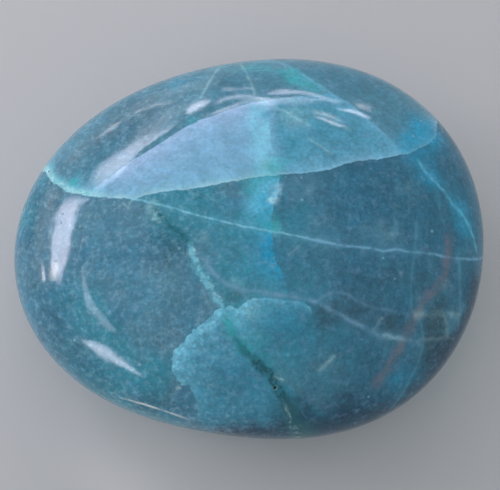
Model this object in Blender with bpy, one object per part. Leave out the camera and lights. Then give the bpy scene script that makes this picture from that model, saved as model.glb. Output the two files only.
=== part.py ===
"""A polished palm stone of chrysocolla grown through with quartz, as one solid pebble.

Lengths are in metres and +Z is up. The origin is on the surface that the stone rests on,
under the middle of the stone's bounding box. +X runs along the stone's length.
"""

import math

import bmesh
import bpy
from mathutils import Vector

# Overall size of the finished stone
LENGTH = 0.0650
WIDTH = 0.0545
HEIGHT = 0.0235

# The plan outline is an ellipse whose radius swells and shrinks as it goes round.
# Each row gives how many times round, by what share of the radius, and the bearing
# of the first swell in degrees from +X towards +Y.
OUTLINE_SWELLS = (
    (2, 0.019, 37),
    (3, 0.027, -57),
    (4, 0.011, 38),
)

# The girth is the widest line round the stone. Above and below it the section is a
# superellipse: an exponent of 2 is a plain ellipse, and more gives a flatter face
# with a tighter shoulder.
GIRTH_HEIGHT = 0.0103
CROWN_EXPONENT = 2.3
UNDERSIDE_EXPONENT = 2.2
FLAT_CUT = 0.0014

# Hand polishing leaves soft planes on the shoulders. Each row gives the bearing and
# the elevation of the plane's normal in degrees, and how deep the plane is cut.
POLISHED_PLANES = (
    (128, 66, 0.0004),
    (62, 63, 0.0003),
    (178, 61, 0.0005),
    (230, 56, 0.0004),
    (300, 60, 0.0003),
    (352, 62, 0.0003),
    (45, -58, 0.0004),
    (165, -55, 0.0003),
    (282, -60, 0.0004),
)
PLANE_BLEND = 0.0009
FLAT_BLEND = 0.0005

# Five subdivisions give 5120 faces, with edges of about 2 mm
SPHERE_SUBDIVISIONS = 5

STONE_COLOUR = (0.048, 0.190, 0.285, 1.0)
STONE_ROUGHNESS = 0.12


def outline_radius(bearing):
    """Distance from the stone's middle to its girth at a bearing in radians."""
    ellipse = 1 / math.hypot(math.cos(bearing) / (LENGTH / 2), math.sin(bearing) / (WIDTH / 2))
    swell = 1.0
    for times, share, first in OUTLINE_SWELLS:
        swell += share * math.cos(times * (bearing - math.radians(first)))
    return ellipse * swell


def pebble_point(direction):
    """The point of the unpolished pebble for a direction from the middle of a unit sphere."""
    flat = math.hypot(direction.x, direction.y)
    bearing = math.atan2(direction.y, direction.x)
    crown = direction.z > 0
    exponent = CROWN_EXPONENT if crown else UNDERSIDE_EXPONENT
    rise = HEIGHT - GIRTH_HEIGHT if crown else GIRTH_HEIGHT + FLAT_CUT
    fullness = (flat**exponent + abs(direction.z) ** exponent) ** (-1 / exponent)
    across = outline_radius(bearing) * flat * fullness
    return Vector((
        across * math.cos(bearing),
        across * math.sin(bearing),
        GIRTH_HEIGHT + rise * direction.z * fullness,
    ))


def cut_back(points, normal, distance, blend):
    """Moves the points beyond a plane back onto it, with a soft edge as wide as blend each way."""
    for point in points:
        beyond = point.dot(normal) - distance
        if beyond > blend:
            point -= normal * beyond
        elif beyond > -blend:
            point -= normal * (beyond + blend) ** 2 / (4 * blend)


def normal_towards(bearing, elevation):
    """Unit vector for a bearing and an elevation in degrees."""
    around, up = math.radians(bearing), math.radians(elevation)
    return Vector((
        math.cos(up) * math.cos(around),
        math.cos(up) * math.sin(around),
        math.sin(up),
    ))


def polish(points):
    """Cuts the soft planes of hand polishing and the small flat that the stone rests on."""
    for bearing, elevation, depth in POLISHED_PLANES:
        normal = normal_towards(bearing, elevation)
        reach = max(point.dot(normal) for point in points)
        cut_back(points, normal, reach - depth, PLANE_BLEND)
    cut_back(points, Vector((0, 0, -1)), 0.0, FLAT_BLEND)


def fit_to_size(points):
    """Scales the points to the stone's length, width and height, and centres them over the origin."""
    for axis, size in enumerate((LENGTH, WIDTH, HEIGHT)):
        low = min(point[axis] for point in points)
        high = max(point[axis] for point in points)
        start = 0.0 if axis == 2 else -size / 2
        for point in points:
            point[axis] = start + (point[axis] - low) * size / (high - low)


def stone_material():
    """Glossy blue-green chrysocolla."""
    material = bpy.data.materials.new("chrysocolla")
    material.use_nodes = True
    shader = material.node_tree.nodes["Principled BSDF"]
    shader.inputs["Base Color"].default_value = STONE_COLOUR
    shader.inputs["Roughness"].default_value = STONE_ROUGHNESS
    shader.inputs["Metallic"].default_value = 0.0
    return material


def palm_stone():
    """The whole stone: a finely divided sphere whose points are moved to the polished pebble."""
    shape = bmesh.new()
    bmesh.ops.create_icosphere(shape, subdivisions=SPHERE_SUBDIVISIONS, radius=1.0)
    points = [pebble_point(vertex.co.normalized()) for vertex in shape.verts]
    polish(points)
    fit_to_size(points)
    for vertex, point in zip(shape.verts, points):
        vertex.co = point
    mesh = bpy.data.meshes.new("palm_stone")
    shape.to_mesh(mesh)
    shape.free()
    mesh.shade_smooth()
    mesh.materials.append(stone_material())
    stone = bpy.data.objects.new("palm_stone", mesh)
    bpy.context.scene.collection.objects.link(stone)


def main():
    for old in list(bpy.data.objects):
        bpy.data.objects.remove(old)
    palm_stone()


main()
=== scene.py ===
"""The looks of a polished palm stone of chrysocolla grown through with quartz.

Lengths are in metres and +Z is up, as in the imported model. The material's nodes work in
millimetres. Places on the stone that were read from the photograph are pixels of its
500 x 490 frame, and the camera turns them into places on the stone's surface.
"""

import math
import random

import bmesh
import bpy
import numpy as np
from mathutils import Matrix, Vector
from mathutils.bvhtree import BVHTree


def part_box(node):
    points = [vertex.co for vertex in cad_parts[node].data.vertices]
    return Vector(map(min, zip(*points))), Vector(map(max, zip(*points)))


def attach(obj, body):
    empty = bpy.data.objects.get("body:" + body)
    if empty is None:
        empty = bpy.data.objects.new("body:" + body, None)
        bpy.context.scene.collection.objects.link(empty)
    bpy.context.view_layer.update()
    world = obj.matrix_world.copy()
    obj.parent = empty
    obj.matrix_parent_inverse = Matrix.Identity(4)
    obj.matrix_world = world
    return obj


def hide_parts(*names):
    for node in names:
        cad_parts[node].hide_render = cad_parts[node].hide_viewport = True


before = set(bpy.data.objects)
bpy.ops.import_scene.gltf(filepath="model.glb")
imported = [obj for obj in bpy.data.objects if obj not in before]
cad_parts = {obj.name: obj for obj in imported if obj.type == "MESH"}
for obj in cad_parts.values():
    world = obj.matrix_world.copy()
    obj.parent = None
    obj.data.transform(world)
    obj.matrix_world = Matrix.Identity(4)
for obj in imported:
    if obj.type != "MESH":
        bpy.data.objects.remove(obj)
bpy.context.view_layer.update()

MM = 0.001

# The stone's form, by the same rules and values as its source
OUTLINE_SWELLS = (
    (2, 0.019, 37),
    (3, 0.027, -57),
    (4, 0.011, 38),
)
GIRTH_HEIGHT = 0.0103
CROWN_EXPONENT = 2.3
UNDERSIDE_EXPONENT = 2.2
FLAT_CUT = 0.0014
POLISHED_PLANES = (
    (128, 66, 0.0004),
    (62, 63, 0.0003),
    (178, 61, 0.0005),
    (230, 56, 0.0004),
    (300, 60, 0.0003),
    (352, 62, 0.0003),
    (45, -58, 0.0004),
    (165, -55, 0.0003),
    (282, -60, 0.0004),
)
PLANE_BLEND = 0.0009
FLAT_BLEND = 0.0005

# Seven subdivisions give 81920 faces, with edges of about 0.6 mm
SPHERE_SUBDIVISIONS = 7

# Small pits that the polish left: pixel across and down, half length and half width in mm,
# the way that the length runs in degrees, and the depth in mm
PITS = (
    (275, 388, 0.45, 0.20, 70, 0.24),
    (156, 213, 0.35, 0.16, 75, 0.10),
    (159, 222, 0.30, 0.16, 10, 0.10),
    (48, 171, 0.45, 0.28, -30, 0.22),
)
PIT_REACH = 0.0013
PIT_CUTS = 3
# A pit is a bell, followed out to this many half lengths, with steeper sides than a plain one
PIT_SPAN = 3
PIT_STEEPNESS = 1.5

# The photograph and the camera that took it
FRAME_WIDTH = 500
FRAME_HEIGHT = 490
CAMERA_TARGET = Vector((0.00005, -0.0004, 0.0100))
CAMERA_ELEVATION = 72
CAMERA_DISTANCE = 0.1362
CAMERA_LENS = 70
CAMERA_CLIP = 0.01
SENSOR_WIDTH = 36
# Keeps a line of sight that meets a vertex exactly from dividing by zero
CLOSEST = 1e-6

# Bent seams inside the stone. Each has how far it leans to +X and to +Y for each unit that it
# goes down, and then the line that it makes on the stone's face, in pixels of the photograph.
SEAMS = {
    "upper_fracture": (
        (0.10, 0.45),
        (44, 170), (52, 182), (66, 191), (90, 196), (110, 198), (134, 199), (146, 195), (167, 191),
        (193, 189), (213, 185), (239, 180), (257, 177), (280, 175), (300, 173), (318, 172),
        (331, 170), (344, 164), (357, 161), (381, 159), (397, 156), (410, 153), (423, 147),
        (431, 143), (436, 136), (437, 128),
    ),
    "veil_top": (
        (0.0, 0.0),
        (88, 193), (98, 185), (110, 177), (124, 166), (134, 159), (145, 153), (161, 143),
        (177, 132), (189, 125), (202, 119.5), (217, 114), (234, 108), (246, 104), (258, 102),
    ),
    "pale_arc": (
        (0.0, 0.30),
        (300, 72), (311, 80), (325, 89), (338, 97), (350, 104), (361, 113), (373, 124), (384, 134),
        (394, 144), (401, 153),
    ),
    "curtain": (
        (-0.25, 0.10),
        (266, 92), (269, 104), (270, 118), (271, 131), (272, 146), (276, 158), (279, 170),
        (280, 178), (279, 187), (278, 195), (274, 203), (272, 209), (272, 221), (273, 235),
        (272, 249), (273, 258), (279, 266), (283, 273), (286, 282), (287, 292),
    ),
    "long_line": (
        (-0.10, -0.50),
        (134, 199), (153, 203), (177, 209), (196, 215), (217, 220), (239, 225), (258, 229),
        (277, 232), (297, 236), (320, 241), (345, 246), (368, 248), (384, 251), (397, 249),
        (411, 252), (434, 254), (446, 257), (463, 259), (477, 259),
    ),
    "green_vein": (
        (0.35, 0.10),
        (154, 206), (161, 215), (167, 223), (178, 232), (189, 245), (192, 253), (195, 260),
        (201, 272), (206, 283), (213, 293), (220, 301), (224, 308), (225, 317), (233, 333),
        (242, 348), (252, 358), (260, 366), (269, 374), (276, 384), (281, 394), (287, 404),
        (291, 413), (295, 423), (302, 437),
    ),
    "second_line": (
        (0.10, 0.30),
        (206, 262), (212, 271), (220, 280), (233, 286), (242, 290), (259, 292), (272, 294),
        (288, 296), (307, 299), (318, 303), (329, 309), (343, 316), (355, 323), (369, 330),
        (377, 334), (388, 336), (404, 339),
    ),
    "smoky_arc": (
        (0.10, 0.30),
        (312, 309), (317, 302), (323, 296), (334, 292), (348, 294), (357, 301), (371, 307),
        (384, 310), (403, 311),
    ),
    "patch_edge": (
        (0.0, 0.0),
        (222, 440), (208, 430), (200, 423), (197, 411), (194, 400), (188, 389), (178, 380),
        (170, 372), (170, 364), (171, 354), (178, 346), (186, 338), (193, 329), (204, 320),
        (213, 311), (224, 308), (236, 306), (245, 302), (254, 297), (269, 298), (287, 300),
        (302, 301), (311, 305), (313, 313), (314, 333), (320, 350), (332, 372),
    ),
    "right_curve": (
        (0.15, 0.0),
        (418, 160), (424, 170), (432, 179), (440, 187), (446, 193), (452, 203), (461, 213),
        (468, 224), (473, 236), (476, 248), (477, 264),
    ),
    "right_upright": (
        (0.30, 0.0),
        (416, 225), (415, 253), (412, 269), (411, 283), (411, 309), (420, 320), (423, 332),
        (423, 346), (419, 361), (414, 372), (404, 390),
    ),
    "rim_upright": (
        (0.30, 0.0),
        (459, 262), (460, 280), (460, 297), (459, 315),
    ),
    "rusty_seam": (
        (0.20, 0.0),
        (449, 236), (449, 254), (446, 268), (443, 280), (436, 289), (427, 297), (421, 307),
        (414, 320), (410, 331), (403, 343), (396, 354), (389, 366), (381, 377),
    ),
}

# Flat cracks: the pixels of their two ends, their half width in mm, and how strongly they show
FLAT_CRACKS = (
    ((221, 66), (201, 97), 0.20, 0.35),
    ((240, 63), (255, 94), 0.22, 0.28),
    ((258, 98), (309, 125), 0.22, 0.28),
    ((309, 139), (331, 153), 0.18, 0.28),
    ((314, 116), (350, 130), 0.16, 0.16),
    ((416, 315), (460, 315), 0.45, 0.28),
    ((447, 320), (447, 335), 0.34, 0.22),
    ((319, 370), (334, 357), 0.26, 0.42),
    ((273, 377), (281, 379), 0.14, 0.75),
    ((421, 340), (454, 339), 0.24, 0.18),
    ((290, 254), (298, 247), 0.15, 0.30),
    ((376, 327), (381, 319), 0.18, 0.35),
    ((384, 336), (404, 339), 0.26, 0.30),
    ((124, 204), (128, 208), 0.13, 0.45),
    ((128, 208), (131, 201), 0.13, 0.40),
    ((153, 219), (162, 217), 0.17, 0.60),
    ((154, 212), (156, 218), 0.13, 0.40),
)

# Soft zones of colour: pixel across and down, radius in mm, strength
ZONES = {
    # Darker towards the bottom and the lower right: partly the stone's deeper blue and partly
    # painted shade
    "deep": (
        (280, 445, 4.5, 1.3), (340, 440, 7.0, 1.1), (390, 415, 4.5, 0.5), (430, 385, 4.0, 0.8),
        (352, 404, 4.0, 0.3), (460, 350, 3.0, 1.0), (470, 315, 3.0, 1.0), (475, 285, 2.5, 0.7),
        (225, 450, 5.0, 1.0), (150, 430, 3.5, 0.5), (95, 398, 3.0, 0.3), (448, 352, 2.0, 0.5),
        (300, 425, 3.0, 0.8), (255, 435, 3.0, 0.5), (290, 403, 2.0, 0.4), (232, 412, 4.0, 0.2),
    ),
    "dull": (
        (385, 190, 4.0, 0.4), (392, 275, 4.0, 0.3), (375, 293, 3.5, 0.5), (342, 285, 3.0, 0.4),
        (140, 404, 3.0, 0.6), (178, 405, 3.5, 0.6), (95, 378, 4.0, 0.5), (100, 208, 3.0, 0.3),
        (162, 250, 3.0, 0.6), (375, 90, 6.0, 0.3), (220, 80, 3.0, 0.4), (250, 80, 3.0, 0.3),
        (425, 280, 3.0, 0.5), (270, 342, 2.5, 0.4), (70, 352, 3.0, 0.3), (455, 188, 3.0, 0.2),
        (333, 380, 3.0, 0.2), (330, 190, 2.5, 0.3), (45, 198, 4.0, 0.7), (100, 150, 5.0, 0.5),
        (140, 115, 5.0, 0.8), (38, 240, 4.0, 0.6), (50, 320, 4.0, 0.6), (40, 275, 3.0, 0.5),
        (60, 165, 3.0, 0.5), (76, 255, 2.6, 0.5), (185, 240, 3.0, 0.4), (148, 206, 3.0, 0.5),
    ),
    "smoky": (
        (322, 318, 2.0, 0.7), (340, 306, 1.8, 0.5), (362, 314, 2.4, 0.6), (392, 321, 2.0, 0.7),
        (408, 327, 1.4, 0.4), (434, 322, 1.7, 1.2), (436, 338, 1.8, 1.1), (432, 356, 2.2, 1.1),
        (448, 345, 1.6, 0.7), (442, 302, 1.8, 0.6), (235, 297, 1.1, 0.8),
    ),
    "cyan": (
        (425, 132, 3.4, 0.9), (465, 232, 2.2, 0.45), (59, 181, 1.0, 0.4), (460, 212, 2.0, 0.35),
        (34, 305, 3.0, 0.3), (180, 82, 3.5, 0.4), (407, 383, 2.6, 0.4), (433, 181, 1.8, 0.4),
        (200, 396, 2.0, 0.3), (420, 165, 3.0, 0.35), (405, 145, 2.4, 0.4), (132, 383, 4.0, 0.3),
        (390, 378, 2.6, 0.2), (263, 200, 1.2, 0.5), (268, 255, 1.4, 0.8), (460, 200, 3.0, 0.3),
        (266, 115, 1.2, 0.5),
    ),
    "green": (
        (291, 72, 1.4, 0.6), (270, 66, 3.0, 0.4), (267, 222, 2.0, 0.6), (73, 184, 1.3, 0.8),
        (245, 345, 2.4, 0.2), (245, 68, 3.0, 0.3), (276, 168, 1.8, 0.6), (300, 431, 1.4, 0.6),
        (193, 120, 1.0, 0.6), (63, 158, 3.0, 0.2), (300, 145, 3.0, 0.3), (218, 66, 3.0, 0.4),
        (308, 84, 1.8, 0.5), (320, 91, 1.6, 0.4), (293, 79, 2.0, 0.5), (250, 190, 2.0, 0.5),
        (260, 172, 2.4, 0.35), (262, 335, 2.0, 0.3), (276, 230, 0.8, 0.6),
    ),
    "pale": (
        (295, 117, 3.5, 0.5), (308, 160, 2.2, 0.3), (345, 160, 2.5, 0.2), (375, 152, 2.6, 0.2),
        (150, 215, 2.0, 0.3), (310, 190, 1.0, 0.4), (88, 216, 0.7, 0.6), (192, 252, 0.5, 1.0),
        (178, 388, 0.4, 0.9), (401, 274, 0.4, 0.7), (277, 351, 0.5, 0.4), (289, 354, 0.5, 0.4),
        (375, 405, 0.6, 0.4), (145, 297, 6.0, 0.33), (315, 220, 3.0, 0.3), (47, 236, 3.0, 0.3),
        (205, 237, 1.0, 0.4), (252, 312, 2.0, 0.4), (305, 315, 1.5, 0.3), (152, 204, 1.0, 0.5),
        (139, 373, 3.0, 0.2), (265, 164, 1.8, 0.4), (237, 285, 1.6, 0.4), (272, 200, 0.7, 0.8),
        (390, 233, 3.2, 0.36), (355, 235, 3.0, 0.2), (410, 190, 3.0, 0.3), (443, 285, 2.0, 0.35),
    ),
}

# Bright strips, placed where the polish mirrors them. Each has its brightness, how warm it is,
# how soft its two long edges are as shares of its width, and how uneven it is. Then come rows
# of two pixels, across and down, one on each edge of the highlight, and the share of the
# brightness there.
STRIPS = {
    "streak": (
        (10.5, 0.0, 0.08, 0.30, 0.5),
        (97, 195, 84, 190, 0.1), (104, 189, 87, 180, 0.4), (113, 181, 95, 167, 0.85),
        (122, 172, 107, 157, 1.0), (131, 161, 121, 149, 1.0), (140, 151, 132, 143, 0.9),
        (150, 142, 144, 134.5, 0.6), (162, 133.5, 157, 126, 0.35), (174, 124, 171, 116, 0.0),
    ),
    "streak_line": (
        (8.5, 0.0, 0.20, 0.40, 0.0),
        (132, 158.5, 131, 156.5, 0.0), (146, 146, 145, 143.5, 0.8), (160, 136, 159, 132.5, 1.0),
        (173, 127, 172, 124.5, 0.8), (184, 120, 183, 118.5, 0.0),
    ),
    "streak_haze": (
        (2.8, 0.6, 0.3, 0.6, 0.5),
        (126, 158, 112, 148, 0.0), (148, 141, 134, 126, 0.9), (171, 124, 158, 104, 0.9),
        (190, 112, 182, 96, 0.5), (214, 106, 206, 92, 0.2), (235, 100, 230, 90, 0.0),
    ),
    "upper_haze": (
        (1.5, 1.0, 0.5, 0.5, 0.4),
        (62, 186, 50, 172, 0.0), (84, 168, 62, 148, 0.7), (118, 142, 92, 122, 0.6),
        (160, 112, 140, 95, 1.0), (195, 96, 182, 80, 0.9), (232, 88, 224, 72, 0.0),
    ),
    "thin_upper": (
        (6.5, 0.5, 0.3, 0.3, 0.0),
        (94, 143, 93, 141.5, 0.0), (102, 136.5, 100.5, 134, 0.6), (112, 129, 110.5, 126, 1.0),
        (120.5, 122, 119.5, 120, 0.5),
    ),
    "thin_top": (
        (5.0, 0.5, 0.3, 0.3, 0.2),
        (126, 120, 125, 118, 0.0), (138, 112.5, 137, 110, 0.9), (152, 107.5, 151, 105.5, 0.8),
        (165, 103.5, 164.5, 101.5, 1.0), (178, 101.5, 178, 100, 0.3),
    ),
    "left_haze": (
        (1.5, 1.0, 0.5, 0.5, 0.4),
        (76, 186, 56, 168, 0.0), (64, 198, 40, 188, 1.0), (56, 215, 34, 212, 1.0),
        (50, 240, 30, 238, 0.9), (50, 265, 28, 263, 0.8), (52, 295, 32, 290, 0.0),
    ),
    "wedge": (
        (12.5, 0.0, 0.12, 0.07, 0.6),
        (72, 197, 91, 198, 0.8), (62.5, 204, 81.5, 205, 1.0), (54, 219, 77, 219, 1.0),
        (50.5, 235, 73.5, 233, 1.0), (51, 250, 70.5, 248, 1.0), (49.5, 265, 67, 263, 0.9),
        (52, 275, 63.5, 274, 0.7), (58, 286, 61, 286, 0.2),
    ),
    "wedge_foot": (
        (9.0, 1.0, 0.4, 0.4, 0.6),
        (51, 258, 62, 258, 0.0), (48, 266, 62, 266, 1.0), (47, 274, 60, 274, 1.0),
        (50, 281, 57, 281, 0.5),
    ),
    "spike": (
        (11.0, 0.3, 0.3, 0.3, 0.0),
        (42.5, 262, 43.5, 262, 0.2), (41.5, 272, 45.5, 272, 1.0), (42, 279, 46.5, 279, 0.9),
        (43, 283, 45.5, 283, 0.0),
    ),
    "thin_left": (
        (5.5, 0.0, 0.3, 0.3, 0.0),
        (83, 238, 84.5, 238, 0.5), (80, 250, 81.5, 250, 1.0), (76.5, 262, 77.5, 262, 0.2),
    ),
    "crescent": (
        (5.0, 0.0, 0.15, 0.25, 0.25),
        (84, 264, 82.5, 264, 0.5), (85.5, 274, 81.5, 275, 0.8), (88, 288, 81.5, 288, 1.0),
        (94.5, 302, 85, 304, 1.0), (103, 316, 93, 317, 1.0), (110.5, 325, 103.5, 327.5, 1.0),
        (116, 333, 113.5, 333, 0.6),
    ),
    "front": (
        (11.0, 0.1, 0.10, 0.2, 0.45),
        (84, 337.5, 82, 339, 0.8), (96, 340, 89, 347.5, 1.0), (111, 350, 104, 358.5, 1.0),
        (125, 361, 119, 367, 1.0), (135, 369, 131, 373, 0.8), (146, 377.5, 143, 378.5, 0.1),
    ),
    "blob": (
        (12.0, 0.1, 0.15, 0.2, 0.0),
        (190, 115.5, 184, 113.5, 0.5), (195, 112, 188, 106.5, 1.0), (202, 108, 196, 102, 1.0),
        (210, 101.5, 206, 99.5, 0.4),
    ),
    "veil_rim": (
        (8.5, 0.0, 0.25, 0.4, 0.3),
        (198, 122, 197, 120.5, 0.0), (216, 115.5, 215, 111, 0.9), (234, 109.5, 233, 104.5, 1.0),
        (248, 103.5, 247, 100.5, 0.7),
    ),
    "arc": (
        (9.5, 0.0, 0.3, 0.4, 0.6),
        (212, 107, 210, 105, 0.0), (227, 101.5, 225, 96.5, 0.9), (241, 98.5, 240, 93.5, 1.0),
        (256, 98, 255, 94, 0.6),
    ),
    "small_left": (
        (5.0, 0.2, 0.4, 0.4, 0.3),
        (223, 91, 223, 86, 0.3), (231, 91, 231, 86, 1.0), (238, 91, 238, 87, 0.3),
    ),
    "small_right": (
        (5.0, 0.1, 0.4, 0.4, 0.3),
        (240, 90, 240, 86, 0.5), (246, 90, 246, 86, 1.0), (253, 91, 253, 88, 0.2),
    ),
    "top": (
        (7.5, 0.0, 0.12, 0.3, 0.3),
        (265, 94, 267, 91, 0.5), (283, 94.5, 284, 87.5, 1.0), (300, 95, 298, 89, 0.9),
        (319, 98.5, 318, 94, 0.9), (340, 102, 342, 99.5, 0.3),
    ),
    "second": (
        (8.5, 0.0, 0.5, 0.12, 0.6),
        (242, 103, 240, 98, 0.2), (258, 108, 258, 96.5, 1.0), (276, 108, 276, 97.5, 0.9),
        (297, 106, 298, 97.5, 0.8), (315, 103, 316, 100, 0.4),
    ),
    "top_line": (
        (6.0, 0.0, 0.2, 0.2, 0.0),
        (304, 101.5, 304, 100, 0.0), (322, 101, 322, 98.5, 1.0), (341, 103.5, 342, 101.5, 0.5),
    ),
    "pink": (
        (8.0, 0.8, 0.2, 0.2, 0.95),
        (308, 113, 309, 109.5, 0.3), (320, 117, 322, 110.5, 1.0), (331, 120.5, 333, 114, 1.0),
        (340, 123, 342, 119.5, 0.4),
    ),
    "pink_low": (
        (6.5, 0.5, 0.25, 0.25, 0.0),
        (312, 117.5, 313, 115.5, 0.2), (328, 123, 329, 119.5, 1.0), (349, 129, 350, 126.5, 0.5),
    ),
    "right": (
        (9.5, 0.1, 0.2, 0.2, 0.0),
        (338, 110, 339, 108, 0.2), (348, 112.5, 350, 108.5, 0.9), (357, 115.5, 359, 111, 1.0),
        (368, 118.5, 369, 116, 0.35),
    ),
    "end": (
        (7.0, 0.4, 0.2, 0.2, 0.0),
        (356, 106, 356, 103.5, 0.6), (362, 109, 363, 103, 1.0), (369, 110.5, 371, 106, 0.6),
    ),
}
LIGHT_DISTANCE = 0.45

# This strip stands in the narrow gap under the stone's overhang
LOW_STRIPS = {
    "low": (
        (5.0, 0.9, 0.25, 0.25, 0.0),
        (117, 397, 118, 395.5, 0.1), (134, 402.5, 135, 400.5, 0.7), (149, 407, 150, 404.5, 1.0),
        (162, 411, 163, 409.5, 0.4), (174, 415.5, 175, 413.5, 0.6), (192, 421.5, 193, 420, 0.0),
    ),
}
LOW_LIGHT_DISTANCE = 0.018
STRIP_COLUMNS = 9
STRIP_ROWS = 5
COOL_LIGHT = (0.84, 0.81, 1.0, 1.0)
WARM_LIGHT = (1.0, 0.86, 0.80, 1.0)
STONE_MIDDLE = Vector((0, 0, 0.0118))

# The shares of full red, green and blue light that fall on the stone, and what its polish
# mirrors all over, by which its own colours differ from how they look on screen
STUDIO_LIGHT = (0.47, 0.585, 0.64)
STUDIO_HAZE = (0.024, 0.021, 0.017)
DARKEST = 0.002
PALEST = 0.95

# The polish, and the light that scatters just under it
POLISH_IOR = 1.5
SCATTER_SHARE = 0.3
SCATTER_RADIUS = (0.6, 1.0, 1.2)
SCATTER_SCALE = 0.0012
RIPPLE_HEIGHT = 0.00004

# The floor and the sky
FLOOR_REACH = 3.0
FLOOR_COLOUR = (0.66, 0.65, 0.63, 1.0)
FLOOR_ROUGHNESS = 0.9
SKY_COLOUR = (0.88, 0.94, 1.0, 1.0)
SKY_STRENGTH = 0.50


def stone_colour(*levels):
    """The stone's own linear colour, from how it looks on screen, from 0 to 255."""
    # The standard curve from screen levels to linear light
    colour = []
    for level, light, haze in zip(levels, STUDIO_LIGHT, STUDIO_HAZE):
        share = level / 255
        linear = share / 12.92 if share <= 0.04045 else ((share + 0.055) / 1.055) ** 2.4
        colour.append(min(max((linear - haze) / light, DARKEST), PALEST))
    return (*colour, 1.0)


# Colours of the stone, as they look on screen
BODY_COLOUR = stone_colour(66, 118, 142)
BODY_GREY_COLOUR = stone_colour(76, 120, 139)
BODY_TEAL_COLOUR = stone_colour(60, 124, 143)
ROOM_COLOUR = stone_colour(54, 101, 124)
STREAK_COLOUR = stone_colour(76, 134, 158)
# A paler teal sheet over the upper fracture, partly painted reflection of the sky in the fracture
SHEET_AND_SKY_REFLECTION_COLOUR = stone_colour(70, 137, 161)
SHOULDER_COLOUR = stone_colour(70, 118, 137)
# A pale glow along the upper fracture and under the pale arc, partly painted reflection of the sky
# in the fracture; also the pale arc's seam
GLOW_COLOUR = stone_colour(104, 168, 198)
DULL_COLOUR = stone_colour(56, 92, 110)
# Deep blue, partly painted shade towards the bottom and the lower right
DEEP_BLUE_AND_SHADE_COLOUR = stone_colour(16, 68, 86)
SMOKY_COLOUR = stone_colour(50, 72, 84)
# The pale veil's own colour brightened by a painted reflection of the sky in the fracture, then the
# lilac of that painted reflection
VEIL_AND_SKY_REFLECTION_COLOUR = stone_colour(106, 161, 190)
VEIL_SKY_REFLECTION_COLOUR = stone_colour(139, 173, 205)
VEIL_CYAN_COLOUR = stone_colour(112, 183, 218)
LILAC_COLOUR = stone_colour(96, 138, 168)
CYAN_COLOUR = stone_colour(40, 140, 176)
CURTAIN_COLOUR = stone_colour(90, 174, 202)
CURTAIN_LOW_COLOUR = stone_colour(41, 145, 188)
PATCH_COLOUR = stone_colour(54, 120, 146)
PATCH_RIM_COLOUR = stone_colour(107, 182, 217)
GREEN_COLOUR = stone_colour(58, 157, 166)
VEIN_COLOUR = stone_colour(36, 110, 120)
DARK_GREEN_COLOUR = stone_colour(14, 84, 94)
LINE_COLOUR = stone_colour(150, 205, 226)
MINT_COLOUR = stone_colour(112, 180, 200)
PALE_BLUE_COLOUR = stone_colour(98, 154, 182)
TURQUOISE_COLOUR = stone_colour(100, 172, 192)
THREAD_COLOUR = stone_colour(96, 142, 168)
SPECK_COLOUR = stone_colour(140, 190, 212)
RUSTY_COLOUR = stone_colour(98, 108, 121)
PIT_COLOUR = stone_colour(50, 48, 40)


# The form

def normal_towards(bearing, elevation):
    """Unit vector for a bearing and an elevation in degrees."""
    around, up = math.radians(bearing), math.radians(elevation)
    return np.array((
        math.cos(up) * math.cos(around),
        math.cos(up) * math.sin(around),
        math.sin(up),
    ))


def pebble_points(directions, size):
    """The points of the unpolished pebble for directions from the middle of a unit sphere."""
    length, width, height = size
    flat = np.hypot(directions[:, 0], directions[:, 1])
    bearing = np.arctan2(directions[:, 1], directions[:, 0])
    radius = 1 / np.hypot(np.cos(bearing) / (length / 2), np.sin(bearing) / (width / 2))
    swell = 1.0
    for times, share, first in OUTLINE_SWELLS:
        swell = swell + share * np.cos(times * (bearing - math.radians(first)))
    crown = directions[:, 2] > 0
    exponent = np.where(crown, CROWN_EXPONENT, UNDERSIDE_EXPONENT)
    rise = np.where(crown, height - GIRTH_HEIGHT, GIRTH_HEIGHT + FLAT_CUT)
    steep = np.abs(directions[:, 2])
    fullness = (flat**exponent + steep**exponent) ** (-1 / exponent)
    across = radius * swell * flat * fullness
    return np.stack((
        across * np.cos(bearing),
        across * np.sin(bearing),
        GIRTH_HEIGHT + rise * directions[:, 2] * fullness,
    ), axis=1)


def cut_back(points, normal, distance, blend):
    """Moves the points beyond a plane back onto it, with a soft edge as wide as blend each way."""
    beyond = points @ normal - distance
    soft = np.clip(beyond + blend, 0, None) ** 2 / (4 * blend)
    points -= np.where(beyond > blend, beyond, soft)[:, None] * normal


def stone_points(directions):
    """The polished pebble's points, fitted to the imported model's box."""
    low, high = (np.array(corner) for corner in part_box("palm_stone"))
    size = high - low
    points = pebble_points(directions, size)
    for bearing, elevation, depth in POLISHED_PLANES:
        normal = normal_towards(bearing, elevation)
        cut_back(points, normal, (points @ normal).max() - depth, PLANE_BLEND)
    cut_back(points, np.array((0.0, 0.0, -1.0)), 0.0, FLAT_BLEND)
    start, end = points.min(axis=0), points.max(axis=0)
    return low + (points - start) * size / (end - start)


def camera_axes():
    """The direction from the target back to the camera, and the picture's right and up."""
    tilt = math.radians(CAMERA_ELEVATION)
    back = Vector((0, -math.cos(tilt), math.sin(tilt)))
    return back, Vector((1, 0, 0)), Vector((0, math.sin(tilt), math.cos(tilt)))


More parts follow.
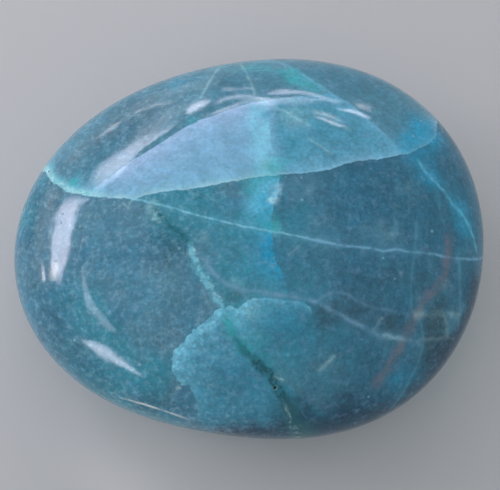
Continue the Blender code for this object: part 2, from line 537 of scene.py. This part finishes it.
class Face:
    """Turns pixels of the photograph into places on the stone's surface."""

    def __init__(self, shape):
        self.shape = shape.copy()
        self.shape.faces.ensure_lookup_table()
        self.tree = BVHTree.FromBMesh(self.shape)

    def look(self, x, y):
        """The place on the stone at a pixel, its smooth normal, and the line of sight."""
        back, right, up = camera_axes()
        focal = CAMERA_LENS / SENSOR_WIDTH * FRAME_WIDTH
        sight = -back + right * (x - FRAME_WIDTH / 2) / focal + up * (FRAME_HEIGHT / 2 - y) / focal
        sight.normalize()
        camera = CAMERA_TARGET + back * CAMERA_DISTANCE
        hit, _, index, _ = self.tree.ray_cast(camera, sight)
        if hit is None:
            passing = camera + sight * (STONE_MIDDLE - camera).dot(sight)
            hit, _, index, _ = self.tree.find_nearest(passing)
        normal = Vector()
        for vertex in self.shape.faces[index].verts:
            normal += vertex.normal / max((vertex.co - hit).length, CLOSEST)
        return hit, normal.normalized(), sight

    def place(self, x, y):
        """The place on the stone at a pixel."""
        return np.array(self.look(x, y)[0])

    def mirrored(self, x, y, distance):
        """Where a light has to be for the polish to mirror it at a pixel."""
        hit, normal, sight = self.look(x, y)
        return hit + (sight - 2 * sight.dot(normal) * normal) * distance


def press_pits(shape, face):
    """Divides the mesh round each pit and presses the pits in. Returns the depths in mm."""
    places = [Vector(face.place(x, y)) for x, y, *_ in PITS]
    near = [
        edge for edge in shape.edges
        if any((edge.verts[0].co - place).length < PIT_REACH for place in places)
    ]
    bmesh.ops.subdivide_edges(shape, edges=near, cuts=PIT_CUTS, use_grid_fill=True)
    bmesh.ops.triangulate(shape, faces=[each for each in shape.faces if len(each.verts) > 3])
    shape.normal_update()
    depths = []
    moves = []
    for vertex in shape.verts:
        depth = 0.0
        for place, (_, _, length, width, way, deepest) in zip(places, PITS):
            offset = (vertex.co - place) / MM
            if offset.length > PIT_SPAN * length:
                continue
            ahead = Vector((math.cos(math.radians(way)), math.sin(math.radians(way)), 0))
            along = offset.dot(ahead)
            across = (offset - along * ahead).length
            out = (along / length) ** 2 + (across / width) ** 2
            depth += deepest * math.exp(-(out**PIT_STEEPNESS))
        depths.append(depth)
        moves.append(vertex.normal * -depth * MM)
    for vertex, move in zip(shape.verts, moves):
        vertex.co += move
    return np.array(depths)


# Fields kept on the mesh

def seam_field(points, line, lean):
    """How far each point is to the left of a seam, how far along it, and its height, in mm.

    The seam's first and last runs go on past their ends.
    """
    level = line[:, 2].mean()
    flat_line = line[:, :2] + np.outer(level - line[:, 2], lean)
    flat = points[:, :2] + np.outer(level - points[:, 2], lean)
    best = np.full(len(points), np.inf)
    side = np.zeros(len(points))
    along = np.zeros(len(points))
    run = 0.0
    last = len(flat_line) - 2
    for index in range(last + 1):
        start, end = flat_line[index], flat_line[index + 1]
        length = np.linalg.norm(end - start)
        ahead = (end - start) / length
        offset = flat - start
        forward = offset @ ahead
        lowest = -np.inf if index == 0 else 0.0
        highest = np.inf if index == last else length
        kept = np.clip(forward, lowest, highest)
        distance = np.linalg.norm(offset - kept[:, None] * ahead, axis=1)
        left = ahead[0] * offset[:, 1] - ahead[1] * offset[:, 0]
        nearer = distance < best
        best[nearer] = distance[nearer]
        side[nearer] = np.where(left >= 0, distance, -distance)[nearer]
        along[nearer] = (run + kept)[nearer]
        run += length
    return np.stack((side, along, points[:, 2]), axis=1) / MM


def zone_field(points, face, rows):
    """The sum of soft round spots."""
    total = np.zeros(len(points))
    for x, y, radius, strength in rows:
        distance = np.linalg.norm(points - face.place(x, y), axis=1) / MM
        total += strength * np.exp(-((distance / radius) ** 2))
    return total


def store(mesh, name, values):
    """Keeps a number or a vector for every vertex under a name that the material reads."""
    if values.ndim == 1:
        mesh.attributes.new(name, "FLOAT", "POINT").data.foreach_set("value", values)
    else:
        kept = mesh.attributes.new(name, "FLOAT_VECTOR", "POINT")
        kept.data.foreach_set("vector", values.ravel())


class Graph:
    """Adds nodes to a material and joins them, so that a look reads as a formula."""

    def __init__(self, material):
        material.use_nodes = True
        self.tree = material.node_tree
        self.shader = self.tree.nodes["Principled BSDF"]
        self.place_mm = self.node(
            "ShaderNodeVectorMath",
            {0: self.node("ShaderNodeTexCoord", {}).outputs["Object"], "Scale": 1 / MM},
            operation="SCALE",
        ).outputs[0]

    def put(self, socket, value):
        """Joins an output to a socket, or sets a plain value on it."""
        if isinstance(value, bpy.types.NodeSocket):
            self.tree.links.new(value, socket)
        else:
            socket.default_value = value

    def node(self, kind, inputs, **settings):
        """A node of a kind, with its settings and its inputs."""
        made = self.tree.nodes.new(kind)
        for name, value in settings.items():
            setattr(made, name, value)
        for key, value in inputs.items():
            self.put(made.inputs[key], value)
        return made

    def do(self, operation, first, second=0.0):
        """One sum."""
        return self.node("ShaderNodeMath", {0: first, 1: second}, operation=operation).outputs[0]

    def times(self, *values):
        """The product of the values."""
        total = values[0]
        for value in values[1:]:
            total = self.do("MULTIPLY", total, value)
        return total

    def plus(self, *values):
        """The sum of the values."""
        total = values[0]
        for value in values[1:]:
            total = self.do("ADD", total, value)
        return total

    def rise(self, value, low, high, start=0.0, end=1.0):
        """Goes smoothly from start to end as the value goes from low to high."""
        inputs = {"Value": value, "From Min": low, "From Max": high, "To Min": start, "To Max": end}
        made = self.node("ShaderNodeMapRange", inputs, interpolation_type="SMOOTHSTEP")
        return made.outputs["Result"]

    def fade(self, value, length):
        """1 at zero, falling away over the length on the positive side."""
        return self.do("EXPONENT", self.times(self.do("MAXIMUM", value, 0.0), -1 / length))

    def noise(self, size_mm, detail=2.0, roughness=0.5, distortion=0.0, seed=0.0, stretch=1.0):
        """Noise from 0 to 1 with lumps of about a size, drawn out along Y by a stretch."""
        place = self.node(
            "ShaderNodeVectorMath",
            {0: self.place_mm, 1: (1.0, 1 / stretch, 1.0), 2: (seed, -seed, seed)},
            operation="MULTIPLY_ADD",
        )
        inputs = {
            "Vector": place.outputs[0],
            "Scale": 1 / size_mm,
            "Detail": detail,
            "Roughness": roughness,
            "Distortion": distortion,
        }
        return self.node("ShaderNodeTexNoise", inputs).outputs["Fac"]

    def cells(self, size_mm):
        """The node of a pattern of cells of about a size."""
        inputs = {"Vector": self.place_mm, "Scale": 1 / size_mm}
        return self.node("ShaderNodeTexVoronoi", inputs)

    def read(self, name):
        """A number kept on the mesh."""
        return self.node("ShaderNodeAttribute", {}, attribute_name=name).outputs["Fac"]

    def seam(self, name):
        """How far a place is to the left of a seam, how far along it, and its height, in mm."""
        kept = self.node("ShaderNodeAttribute", {}, attribute_name=name).outputs["Vector"]
        return self.node("ShaderNodeSeparateXYZ", {0: kept}).outputs

    def between(self, value, first, last, soft=1.5):
        """1 between two values, falling to 0 just outside them."""
        return self.times(
            self.rise(value, first - soft, first),
            self.rise(value, last + soft, last),
        )

    def edge(self, side, length, soft=0.08):
        """Bright at a seam, falling away over a length on its positive side."""
        return self.times(self.rise(side, -soft, soft), self.fade(side, length))

    def thread(self, side, width, halo=0.2):
        """A soft thin line where the distance is zero, with a faint glow beside it."""
        off = self.do("ABSOLUTE", side)
        spread = self.do("POWER", self.times(off, 1 / width), 2.0)
        core = self.do("EXPONENT", self.times(spread, -1.0))
        glow = self.fade(off, width * 4)
        return self.plus(self.times(core, 1 - halo), self.times(glow, halo))

    def shade(self, share, base):
        """A colour made darker or brighter."""
        inputs = {0: base, "Scale": share}
        return self.node("ShaderNodeVectorMath", inputs, operation="SCALE").outputs[0]

    def lay(self, share, under, over):
        """One colour laid over another."""
        made = self.tree.nodes.new("ShaderNodeMix")
        made.data_type = "RGBA"
        made.clamp_factor = True
        sockets = {socket.identifier: socket for socket in made.inputs}
        self.put(sockets["Factor_Float"], share)
        self.put(sockets["A_Color"], under)
        self.put(sockets["B_Color"], over)
        return next(socket for socket in made.outputs if socket.identifier == "Result_Color")


def body(g, base):
    """The cloudy blue-green ground of the stone."""
    tone = g.noise(13.0, 2.0, 0.5, 0.3, 37)
    base = g.lay(g.rise(g.clouds, 0.38, 0.62), base, BODY_COLOUR)
    return g.lay(g.rise(tone, 0.45, 0.62), base, BODY_TEAL_COLOUR)


def rooms(g, base):
    """The darker and greyer compartments that the seams part from each other."""
    under = g.rise(g.over, 0.1, -0.05)
    room = g.times(
        under,
        g.rise(g.past_curtain, -0.1, 0.12),
        g.rise(g.past_curtain, 0.0, 11.0, 0.35, 1.0),
        g.rise(g.clouds, 0.2, 0.5, 0.75, 1.0),
    )
    base = g.lay(room, base, ROOM_COLOUR)
    drawn = g.noise(1.3, 3.0, 0.6, 0.3, 17, stretch=4.0)
    base = g.lay(g.times(room, g.rise(drawn, 0.48, 0.75), 0.4), base, STREAK_COLOUR)

    # Over the upper fracture, up to the pale arc: a paler sheet, and a glow along the fracture and
    # under the arc, partly the stone's own colour and partly painted reflection of the sky in the
    # fracture
    above = g.rise(g.over, -0.05, 0.1)
    veil_top = g.seam("veil_top")[0]
    arc = g.plus(g.seam("pale_arc")[0], g.times(g.ragged, 0.5))
    within = g.times(above, g.rise(arc, 0.2, -0.2), g.rise(veil_top, 0.2, -0.2))
    base = g.lay(g.times(above, 0.9), base, SHOULDER_COLOUR)
    base = g.lay(g.times(within, g.rise(g.clouds, 0.25, 0.65, 0.75, 1.0)), base, SHEET_AND_SKY_REFLECTION_COLOUR)
    glow = g.plus(g.times(g.fade(g.over, 1.0), 0.65), g.times(g.fade(g.over, 3.0), 0.25))
    base = g.lay(g.times(above, glow), base, GLOW_COLOUR)
    rim = g.times(g.edge(g.times(arc, -1.0), 1.3, 0.3), above, 0.4)
    return g.lay(rim, base, GLOW_COLOUR)


def veil(g, base):
    """The pale sheet over the upper fracture, from the slit at its top to the curtain, and a
    painted sky reflection in it.
    """
    side, along = g.seam("veil_top")[:2]
    below_top = g.times(g.plus(side, g.times(g.ragged, 0.5)), -1.0)
    before = g.times(g.past_curtain, -1.0)
    shown = g.times(
        g.rise(along, 1.0, 6.0, 0.3, 1.0),
        g.rise(g.over, -0.05, 0.12),
        g.rise(below_top, -0.10, 0.15),
        g.rise(before, -1.6, 1.0),
        g.rise(g.height, 0.0, 7.0, 0.4, 1.0),
    )
    mottle = g.noise(3.0, 4.0, 0.6, 0.4, 83)
    g.veiled = shown
    base = g.lay(g.times(shown, g.rise(mottle, 0.3, 0.6, 0.85, 1.0)), base, VEIL_AND_SKY_REFLECTION_COLOUR)
    # Painted reflection of the sky in the fracture, lilac towards the slit at the top
    painted_sky_reflection = g.times(shown, g.fade(below_top, 2.4), g.rise(g.clouds, 0.3, 0.7, 0.75, 1.0))
    base = g.lay(painted_sky_reflection, base, VEIL_SKY_REFLECTION_COLOUR)
    teal = g.times(shown, g.edge(g.over, 0.9), g.rise(mottle, 0.35, 0.6, 0.1, 0.5))
    return g.lay(teal, base, TURQUOISE_COLOUR)


def patch(g, base):
    """The frothy turquoise patch, brightest along its scalloped edge."""
    side, along, height = g.seam("patch_edge")
    froth = g.cells(1.1).outputs["Distance"]
    fine_froth = g.cells(0.55).outputs["Distance"]
    on_left = g.rise(along, 29.0, 22.0)
    bulge = g.times(g.plus(g.times(froth, -1.0), 0.45), g.plus(g.times(on_left, 0.8), 0.1))
    inside = g.plus(g.times(side, -1.0), bulge, g.times(g.ragged, 0.6))
    shown = g.times(g.rise(inside, -0.05, 0.15), g.rise(height, 1.0, 7.0, 0.3, 1.0))
    base = g.lay(g.times(shown, g.rise(along, 40.0, 33.0), 0.75), base, PATCH_COLOUR)
    glow = g.plus(g.times(g.fade(inside, 1.2), 0.7), g.times(g.fade(inside, 4.0), 0.9))
    bubbles = g.times(g.rise(froth, 0.65, 0.15, 0.6, 1.0), g.rise(fine_froth, 0.6, 0.2, 0.8, 1.15))
    lumps = g.rise(g.noise(2.2, 3.0, 0.6, 0.5, 77), 0.3, 0.6, 0.55, 1.05)
    froth_share = g.times(glow, bubbles, lumps, on_left, g.rise(along, 3.0, 11.0, 0.25, 1.0))
    base = g.lay(g.times(shown, froth_share), base, PATCH_RIM_COLOUR)
    top = g.times(g.edge(inside, 0.8), g.between(along, 24.0, 32.0), g.broken, 0.6)
    return g.lay(g.times(top, shown), base, PATCH_RIM_COLOUR)


def curtain(g, base):
    """The upright curtain: a soft bright sheet over the fracture, crisp and bluer under it."""
    along = g.seam("curtain")[1]
    inside = g.times(g.past_curtain, -1.0)
    cloudy = g.rise(g.noise(1.8, 4.0, 0.65, 0.2, 29), 0.32, 0.58, 0.55, 1.0)
    sheet = g.times(g.rise(inside, -0.2, 0.4), g.rise(inside, 3.8, 1.8), g.rise(along, 0.5, 3.0))
    over = g.times(sheet, g.rise(g.over, -0.05, 0.1), cloudy, 0.85)
    base = g.lay(over, base, VEIL_CYAN_COLOUR)

    edge = g.times(g.rise(inside, -0.05, 0.10), g.rise(g.over, 0.1, -0.05), cloudy)
    high = g.times(edge, g.rise(inside, 4.6, 2.4), g.rise(along, 24.0, 16.0), 0.95)
    base = g.lay(high, base, CURTAIN_COLOUR)
    low = g.times(edge, g.fade(inside, 1.4), g.rise(along, 15.5, 20.5), g.rise(along, 31.0, 24.5))
    base = g.lay(low, base, CURTAIN_LOW_COLOUR)
    crust = g.rise(g.noise(0.9, 3.0, 0.6, 0.0, 33), 0.38, 0.56)
    lower_spot = g.times(g.between(along, 24.8, 25.6, 0.5), 0.6)
    spots = g.plus(g.between(along, 15.0, 17.2, 0.8), lower_spot)
    near_edge = g.rise(g.do("ABSOLUTE", g.plus(inside, -0.3)), 1.0, 0.3)
    return g.lay(g.times(spots, near_edge, crust, 0.5), base, SPECK_COLOUR)


def zones(g, base):
    """Zones of other colours, with ragged edges; the deep zones along the bottom and lower right
    are partly painted shade.
    """
    for name, tint, low, high, most in (
        ("dull", DULL_COLOUR, 0.1, 0.9, 0.7),
        ("cyan", CYAN_COLOUR, 0.1, 0.9, 0.8),
        ("green", GREEN_COLOUR, 0.15, 0.9, 0.7),
        ("smoky", SMOKY_COLOUR, 0.15, 1.0, 0.8),
        # The deep zones are partly painted shade
        ("deep", DEEP_BLUE_AND_SHADE_COLOUR, 0.1, 1.0, 1.0),
        ("pale", LINE_COLOUR, 0.15, 1.1, 0.7),
    ):
        amount = g.times(g.read(name), g.plus(g.times(g.wobble, 0.7), 1.0))
        base = g.lay(g.times(g.rise(amount, low, high), most), base, tint)
    return base


def underside(g, base):
    """More clouds and healed seams below the girth, which the photograph doesn't show."""
    hidden = g.rise(g.height, 9.5, 6.0)
    patches = g.noise(6.0, 3.0, 0.55, 0.6, 101)
    base = g.lay(g.times(hidden, g.rise(patches, 0.50, 0.62), 0.6), base, PATCH_RIM_COLOUR)
    base = g.lay(g.times(hidden, g.rise(patches, 0.48, 0.36), 0.7), base, ROOM_COLOUR)
    for size, seed, half, tint, most in (
        (12.0, 103, 0.012, MINT_COLOUR, 0.8),
        (9.0, 107, 0.016, VEIN_COLOUR, 0.8),
        (10.0, 109, 0.010, PALE_BLUE_COLOUR, 0.6),
    ):
        bend = g.do("ABSOLUTE", g.plus(g.noise(size, 2.5, 0.45, 0.3, seed), -0.5))
        seam = g.times(hidden, g.rise(bend, half, half / 4), g.broken, most)
        base = g.lay(seam, base, tint)
    return base


def mottling(g, base):
    """Fine clouds and pale specks of quartz."""
    fleck = g.noise(1.4, 3.0, 0.65, 0.4, 47)
    base = g.lay(g.rise(fleck, 0.50, 0.75, 0.0, 0.35), base, LILAC_COLOUR)
    base = g.lay(g.rise(fleck, 0.48, 0.25, 0.0, 0.35), base, BODY_TEAL_COLOUR)
    quartz = g.rise(g.noise(0.8, 3.0, 0.65, 0.0, 61), 0.44, 0.74)
    on_left = g.rise(g.past_curtain, 0.0, -12.0, 0.04, 0.24)
    base = g.lay(g.times(quartz, on_left), base, SPECK_COLOUR)
    fine = g.rise(g.noise(0.5, 3.0, 0.75, 0.0, 3), 0.25, 0.75, 0.80, 1.20)
    broad = g.rise(g.noise(2.2, 4.0, 0.65, 0.3, 9), 0.3, 0.7, 0.88, 1.12)
    # Less fine mottling on the veil and its painted sky reflection
    calm = g.plus(g.times(g.plus(fine, -1.0), g.rise(g.veiled, 0.0, 1.0, 1.0, 0.5)), 1.0)
    base = g.shade(g.times(calm, broad), base)
    spots = g.cells(1.7)
    drawn = g.node("ShaderNodeSeparateColor", {0: spots.outputs["Color"]}).outputs
    size = g.rise(drawn[1], 0.0, 1.0, 0.03, 0.12)
    near = g.do("SUBTRACT", spots.outputs["Distance"], size)
    speck = g.times(g.rise(near, 0.04, -0.02), g.rise(drawn[0], 0.66, 0.72))
    return g.lay(g.times(speck, g.rise(drawn[2], 0.0, 1.0, 0.1, 0.4)), base, SPECK_COLOUR)


def fracture(g, base):
    """The upper fracture's bright edge, thick and white on the left and soft on the right."""
    along = g.seam("upper_fracture")[1]
    left = g.rise(along, 16.0, 10.0)
    middle = g.rise(along, 40.0, 28.0, 0.3, 1.0)
    shown = g.between(along, -3.0, 62.0)
    crisp = g.times(g.edge(g.over, 0.45, 0.12), g.plus(g.times(g.broken, 0.6), 0.1), shown, middle)
    base = g.lay(crisp, base, LINE_COLOUR)
    band = g.times(g.rise(g.over, -0.15, 0.05), g.rise(g.over, 1.5, 0.2), left, shown)
    base = g.lay(g.times(band, g.plus(g.times(g.broken, 0.8), 0.1)), base, TURQUOISE_COLOUR)
    crust = g.times(g.rise(g.over, -0.15, 0.05), g.rise(g.over, 0.85, 0.2), left, shown)
    base = g.lay(g.times(crust, g.plus(g.times(g.broken, 0.7), 0.1)), base, LINE_COLOUR)
    cells = g.rise(g.noise(0.9, 3.0, 0.7, 0.0, 39), 0.45, 0.6)
    green = g.times(g.edge(g.over, 1.1), g.rise(along, 14.0, 10.0), shown, cells, 0.6)
    base = g.lay(green, base, GREEN_COLOUR)
    under = g.times(g.edge(g.times(g.over, -1.0), 0.6), g.between(along, 34.0, 58.0), 0.35)
    return g.lay(under, base, DULL_COLOUR)


def lines(g, base):
    """The thin healed seams."""
    for name, tint, width, first, last, most in (
        ("long_line", MINT_COLOUR, 0.14, 0.0, 26.0, 1.0),
        ("long_line", PALE_BLUE_COLOUR, 0.18, 23.0, 49.0, 1.0),
        ("second_line", THREAD_COLOUR, 0.28, 0.0, 29.0, 0.95),
        ("smoky_arc", THREAD_COLOUR, 0.20, 2.0, 11.0, 0.45),
        ("right_curve", CURTAIN_COLOUR, 0.26, 1.0, 14.0, 0.8),
        ("right_upright", STREAK_COLOUR, 0.22, 0.0, 23.0, 0.6),
        ("rim_upright", STREAK_COLOUR, 0.26, 0.0, 7.0, 0.7),
        ("pale_arc", GLOW_COLOUR, 0.26, 1.0, 17.0, 0.6),
    ):
        side, along = g.seam(name)[:2]
        thread = g.thread(g.plus(side, g.times(g.ragged, 0.45)), width)
        base = g.lay(g.times(thread, g.between(along, first, last), g.broken, most), base, tint)
    side, along = g.seam("rusty_seam")[:2]
    off = g.do("ABSOLUTE", g.plus(side, g.times(g.ragged, 1.4)))
    soft = g.times(g.rise(off, 1.15, 0.10), g.between(along, 1.0, 21.0, 3.0))
    return g.lay(g.times(soft, g.rise(g.broken, 0.35, 1.0, 0.3, 0.7)), base, RUSTY_COLOUR)


def flat_cracks(g, base):
    """Short straight cracks, each a plane through the stone between two of its ends."""
    for start, end, width, most in g.cracks:
        ahead = (end - start).normalized()
        across = Vector((-ahead.y, ahead.x, 0)).normalized()
        side = g.node("ShaderNodeVectorMath", {0: g.place_mm, 1: across}, operation="DOT_PRODUCT")
        along = g.node("ShaderNodeVectorMath", {0: g.place_mm, 1: ahead}, operation="DOT_PRODUCT")
        off = g.plus(side.outputs["Value"], -across.dot(start), g.times(g.ragged, 0.4))
        shown = g.times(
            g.thread(off, width),
            g.between(along.outputs["Value"], ahead.dot(start), ahead.dot(end), 0.6),
            g.on_crown,
            g.broken,
            most,
        )
        base = g.lay(shown, base, LINE_COLOUR)
    return base


def green_vein(g, base):
    """The green vein, dark at both ends, with light turquoise and then green between."""
    side, along = g.seam("green_vein")[:2]
    centred = g.plus(side, g.times(g.wobble, 0.4), g.times(g.ragged, 1.2))
    off = g.do("ABSOLUTE", centred)
    light = g.between(along, 7.5, 17.0, 1.2)
    shown = g.between(along, 0.5, 37.0, 1.5)
    dark = g.times(shown, g.do("SUBTRACT", 1.0, light))
    blotches = g.rise(g.noise(1.0, 4.0, 0.7, 0.3, 57), 0.40, 0.60)
    deep = g.plus(g.rise(along, 18.0, 24.5), g.rise(along, 9.0, 7.0, 0.0, 0.6))
    halo = g.times(g.fade(off, 0.65), dark, g.rise(blotches, 0.0, 1.0, 0.4, 0.95))
    base = g.lay(g.times(halo, g.plus(g.times(deep, 0.6), 0.4)), base, VEIN_COLOUR)
    right = g.times(g.edge(g.plus(centred, -0.2), 1.5, 0.3), g.between(along, 15.0, 27.0, 2.0))
    base = g.lay(g.times(right, g.rise(blotches, 0.0, 1.0, 0.1, 0.4)), base, GREEN_COLOUR)
    uneven_off = g.plus(off, g.times(g.wobble, 0.5))
    band = g.times(g.rise(uneven_off, 0.80, 0.05), g.between(along, 17.5, 23.0))
    base = g.lay(g.times(band, g.rise(blotches, 0.0, 1.0, 0.2, 0.8)), base, GREEN_COLOUR)
    base = g.lay(g.times(band, g.rise(blotches, 0.9, 0.1, 0.0, 0.5)), base, VEIN_COLOUR)
    thick = g.rise(along, 21.0, 25.0, 0.0, 0.25)
    core = g.times(g.rise(g.do("SUBTRACT", off, thick), 0.55, 0.05), dark, deep)
    base = g.lay(g.times(core, g.rise(blotches, 0.0, 0.8, 0.45, 0.95)), base, DARK_GREEN_COLOUR)
    pale = g.times(g.rise(off, 0.55, 0.15), light, g.rise(blotches, 0.0, 1.0, 0.3, 0.9))
    base = g.lay(pale, base, TURQUOISE_COLOUR)
    for shift, width, first, last, most in (
        (-0.38, 0.14, 8.0, 15.0, 0.5),
        (0.25, 0.12, 31.0, 36.0, 0.4),
    ):
        lip = g.thread(g.plus(centred, shift), width)
        base = g.lay(g.times(lip, g.between(along, first, last), blotches, most), base, LINE_COLOUR)
    return base


def stone_material(cracks):
    """Translucent blue-green chrysocolla and quartz under a high polish."""
    material = bpy.data.materials.new("chrysocolla_fine")
    g = Graph(material)
    g.cracks = cracks
    g.clouds = g.noise(7.0, 4.0, 0.55, 0.5, 11)
    g.wobble = g.times(g.plus(g.noise(1.6, 3.0, 0.6, 0.0, 5), -0.5), 2.0)
    g.ragged = g.plus(g.noise(1.2, 4.0, 0.65, 0.0, 71), -0.5)
    g.broken = g.rise(g.noise(1.5, 3.0, 0.65, 0.0, 63), 0.35, 0.62, 0.35, 1.0)
    g.height = g.node("ShaderNodeSeparateXYZ", {0: g.place_mm}).outputs[2]
    g.on_crown = g.rise(g.height, 8.0, 11.0)
    g.over = g.plus(g.seam("upper_fracture")[0], g.times(g.ragged, 0.7))
    g.past_curtain = g.plus(g.seam("curtain")[0], g.times(g.ragged, 0.9))

    base = BODY_GREY_COLOUR
    layers = (
        body, rooms, veil, patch, curtain, zones, underside,
        mottling, fracture, lines, flat_cracks, green_vein,
    )
    for layer in layers:
        base = layer(g, base)
    pit = g.read("pit")
    base = g.lay(g.times(g.rise(pit, 0.01, 0.05), g.rise(pit, 0.12, 0.06), 0.2), base, LINE_COLOUR)
    base = g.lay(g.rise(pit, 0.12, 0.20), base, PIT_COLOUR)
    g.put(g.shader.inputs["Base Color"], base)

    handled = g.noise(2.4, 3.0, 0.6, 0.0, 91)
    rough = g.plus(g.rise(handled, 0.3, 0.7, 0.05, 0.10), g.times(g.rise(pit, 0.01, 0.1), 0.5))
    g.put(g.shader.inputs["Roughness"], rough)
    g.shader.inputs["IOR"].default_value = POLISH_IOR
    g.shader.inputs["Subsurface Weight"].default_value = SCATTER_SHARE
    g.shader.inputs["Subsurface Radius"].default_value = SCATTER_RADIUS
    g.shader.inputs["Subsurface Scale"].default_value = SCATTER_SCALE
    dimples = g.rise(g.cells(1.3).outputs["Distance"], 0.14, 0.04, 0.0, -0.25)
    ripple = g.plus(
        g.noise(4.0, 1.0, 0.4, 0.0, 51),
        g.times(g.noise(1.1, 1.0, 0.4, 0.0, 52), 0.06),
        dimples,
    )
    bump = g.node("ShaderNodeBump", {"Height": ripple, "Strength": 1.0, "Distance": RIPPLE_HEIGHT})
    g.put(g.shader.inputs["Normal"], bump.outputs[0])
    return material


def build_stone():
    """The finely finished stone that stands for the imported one. Returns its face."""
    shape = bmesh.new()
    bmesh.ops.create_icosphere(shape, subdivisions=SPHERE_SUBDIVISIONS, radius=1.0)
    directions = np.array([vertex.co.normalized() for vertex in shape.verts])
    for vertex, point in zip(shape.verts, stone_points(directions)):
        vertex.co = point
    shape.normal_update()
    face = Face(shape)
    pits = press_pits(shape, face)
    mesh = bpy.data.meshes.new("polished_stone")
    shape.to_mesh(mesh)
    shape.free()
    mesh.shade_smooth()

    points = np.array([vertex.co for vertex in mesh.vertices])
    for name, (lean, *line) in SEAMS.items():
        places = np.array([face.place(x, y) for x, y in line])
        store(mesh, name, seam_field(points, places, lean))
    for name, rows in ZONES.items():
        store(mesh, name, zone_field(points, face, rows))
    store(mesh, "pit", pits)
    cracks = [
        (Vector(face.place(*start)) / MM, Vector(face.place(*end)) / MM, width, most)
        for start, end, width, most in FLAT_CRACKS
    ]
    mesh.materials.append(stone_material(cracks))
    stone = bpy.data.objects.new("polished_stone", mesh)
    bpy.context.scene.collection.objects.link(stone)
    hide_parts("palm_stone")
    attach(stone, "root")
    return face


# The studio

def add_camera():
    """A camera at the photograph's viewing angle."""
    camera = bpy.data.objects.new("camera", bpy.data.cameras.new("camera"))
    camera.data.lens = CAMERA_LENS
    camera.data.sensor_width = SENSOR_WIDTH
    camera.data.clip_start = CAMERA_CLIP
    back = camera_axes()[0]
    camera.location = CAMERA_TARGET + back * CAMERA_DISTANCE
    camera.rotation_euler = back.to_track_quat("Z", "Y").to_euler()
    bpy.context.scene.collection.objects.link(camera)
    bpy.context.scene.camera = camera


def curve_through(values, step):
    """The value at a step along a smooth curve through evenly spaced values."""
    index = min(int(step), len(values) - 2)
    t = step - index
    before = values[max(index - 1, 0)]
    start, end = values[index], values[index + 1]
    after = values[min(index + 2, len(values) - 1)]
    return (
        start
        + 0.5 * t * (end - before)
        + t**2 * (before - 2.5 * start + 2 * end - 0.5 * after)
        + t**3 * (1.5 * (start - end) + 0.5 * (after - before))
    )


def strip(name, face, look, seed, distance):
    """A bright strip with soft edges where the polish mirrors it between rows of pixel pairs."""
    (strength, warmth, first_soft, second_soft, uneven), *rows = look
    drawn = random.Random(seed)
    fibres = [1 - uneven * drawn.random() for _ in range(STRIP_COLUMNS)]
    values = [np.array(row) for row in rows]
    count = (len(rows) - 1) * STRIP_ROWS
    points, glows = [], []
    for row in range(count + 1):
        smooth = curve_through(values, row / STRIP_ROWS)
        for column in range(STRIP_COLUMNS):
            across = column / (STRIP_COLUMNS - 1)
            pixel = smooth[:2] * (1 - across) + smooth[2:4] * across
            edges = min(1.0, across / first_soft) * min(1.0, (1 - across) / second_soft)
            points.append(face.mirrored(*pixel, distance))
            glows.append(max(smooth[4], 0.0) * edges * fibres[column])
    faces = [
        (at, at + 1, at + 1 + STRIP_COLUMNS, at + STRIP_COLUMNS)
        for row in range(count)
        for at in range(row * STRIP_COLUMNS, (row + 1) * STRIP_COLUMNS - 1)
    ]
    mesh = bpy.data.meshes.new(name)
    mesh.from_pydata(points, [], faces)
    middle = mesh.polygons[len(faces) // 2]
    if middle.normal.dot(STONE_MIDDLE - middle.center) < 0:
        mesh.flip_normals()
    store(mesh, "glow", np.array(glows))
    mesh.materials.append(strip_material(name, strength, warmth))
    made = bpy.data.objects.new(name, mesh)
    made.visible_camera = False
    made.visible_shadow = False
    bpy.context.scene.collection.objects.link(made)


def strip_material(name, strength, warmth):
    """A glow on the side towards the stone, which lets the rest of the light pass."""
    material = bpy.data.materials.new(name)
    g = Graph(material)
    g.tree.nodes.remove(g.shader)
    front = g.do("SUBTRACT", 1.0, g.node("ShaderNodeNewGeometry", {}).outputs["Backfacing"])
    lit = g.times(g.read("glow"), front, strength)
    colour = [cool + (warm - cool) * warmth for cool, warm in zip(COOL_LIGHT, WARM_LIGHT)]
    lamp = g.node("ShaderNodeEmission", {"Color": colour, "Strength": lit}).outputs[0]
    clear = g.node("ShaderNodeBsdfTransparent", {}).outputs[0]
    both = g.node("ShaderNodeAddShader", {0: lamp, 1: clear}).outputs[0]
    g.put(g.tree.nodes["Material Output"].inputs["Surface"], both)
    return material


def studio(face):
    """A plain pale floor, a dim even sky and the bright strips."""
    signs = ((-1, -1), (1, -1), (1, 1), (-1, 1))
    corners = [(across * FLOOR_REACH, back * FLOOR_REACH, 0) for across, back in signs]
    floor_mesh = bpy.data.meshes.new("floor")
    floor_mesh.from_pydata(corners, [], [(0, 1, 2, 3)])
    floor_material = bpy.data.materials.new("floor")
    floor_material.use_nodes = True
    shader = floor_material.node_tree.nodes["Principled BSDF"]
    shader.inputs["Base Color"].default_value = FLOOR_COLOUR
    shader.inputs["Roughness"].default_value = FLOOR_ROUGHNESS
    floor_mesh.materials.append(floor_material)
    floor = bpy.data.objects.new("floor", floor_mesh)
    bpy.context.scene.collection.objects.link(floor)

    world = bpy.data.worlds.new("studio")
    world.use_nodes = True
    sky = world.node_tree.nodes["Background"]
    sky.inputs["Color"].default_value = SKY_COLOUR
    sky.inputs["Strength"].default_value = SKY_STRENGTH
    bpy.context.scene.world = world

    for seed, (name, look) in enumerate(STRIPS.items()):
        strip(name + "_strip", face, look, seed, LIGHT_DISTANCE)
    for seed, (name, look) in enumerate(LOW_STRIPS.items()):
        strip(name + "_strip", face, look, seed, LOW_LIGHT_DISTANCE)


add_camera()
bpy.context.scene.view_settings.view_transform = "Standard"
stone_face = build_stone()
studio(stone_face)
